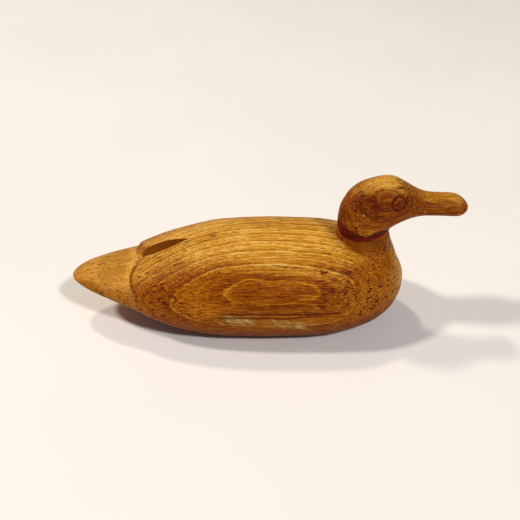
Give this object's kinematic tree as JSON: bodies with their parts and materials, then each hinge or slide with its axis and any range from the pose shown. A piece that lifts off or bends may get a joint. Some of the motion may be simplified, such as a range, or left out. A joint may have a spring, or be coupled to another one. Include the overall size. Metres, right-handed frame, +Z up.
{
  "type": "duck decoy",
  "caption": "Carved wooden duck decoy with a turning head, folded wings, paddle tail, flat bottom, let-in ballast bar and a recessed anchor-line tie.",
  "frame": {"origin": "on the plane of the flat bottom, midway between the tail tip and the bill tip, on the centre plane", "axes": "+X from the tail to the bill, +Y to the duck's left, +Z up"},
  "size_m": [0.284, 0.1002, 0.112],
  "materials": {
    "body_wood": "satin varnish, open grain",
    "head_wood": "satin varnish, open grain",
    "collar_wood": "glossy dark red-brown stain",
    "dowel_wood": "bare",
    "plug_wood": "satin varnish, end grain",
    "lead": "dull oxidised lead",
    "steel": "zinc plated",
    "brass": "tarnished"
  },
  "bodies": {
    "base": {"body": "body_wood", "neck_collar": "collar_wood", "bottom_plug": "plug_wood", "ballast_weight": "lead", "ballast_screws": "brass", "line_tie_eye": "brass"},
    "turning_head": {"head": "head_wood", "neck_dowel": "dowel_wood", "head_screw": "steel", "screw_washer": "steel"},
    "tie_ring": {"line_tie_ring": "brass"}
  },
  "joints": [
    {"name": "head_turn", "type": "hinge", "parent": "base", "child": "turning_head", "pos_m": [0.07107, 0, 0.07365], "axis": [0, 0, 1], "range_deg": [-90, 90]},
    {"name": "tie_ring_swing", "type": "hinge", "parent": "base", "child": "tie_ring", "pos_m": [0.04657, 0, 0.0127], "axis": [0, 1, 0], "range_deg": [-45, 45]}
  ]
}
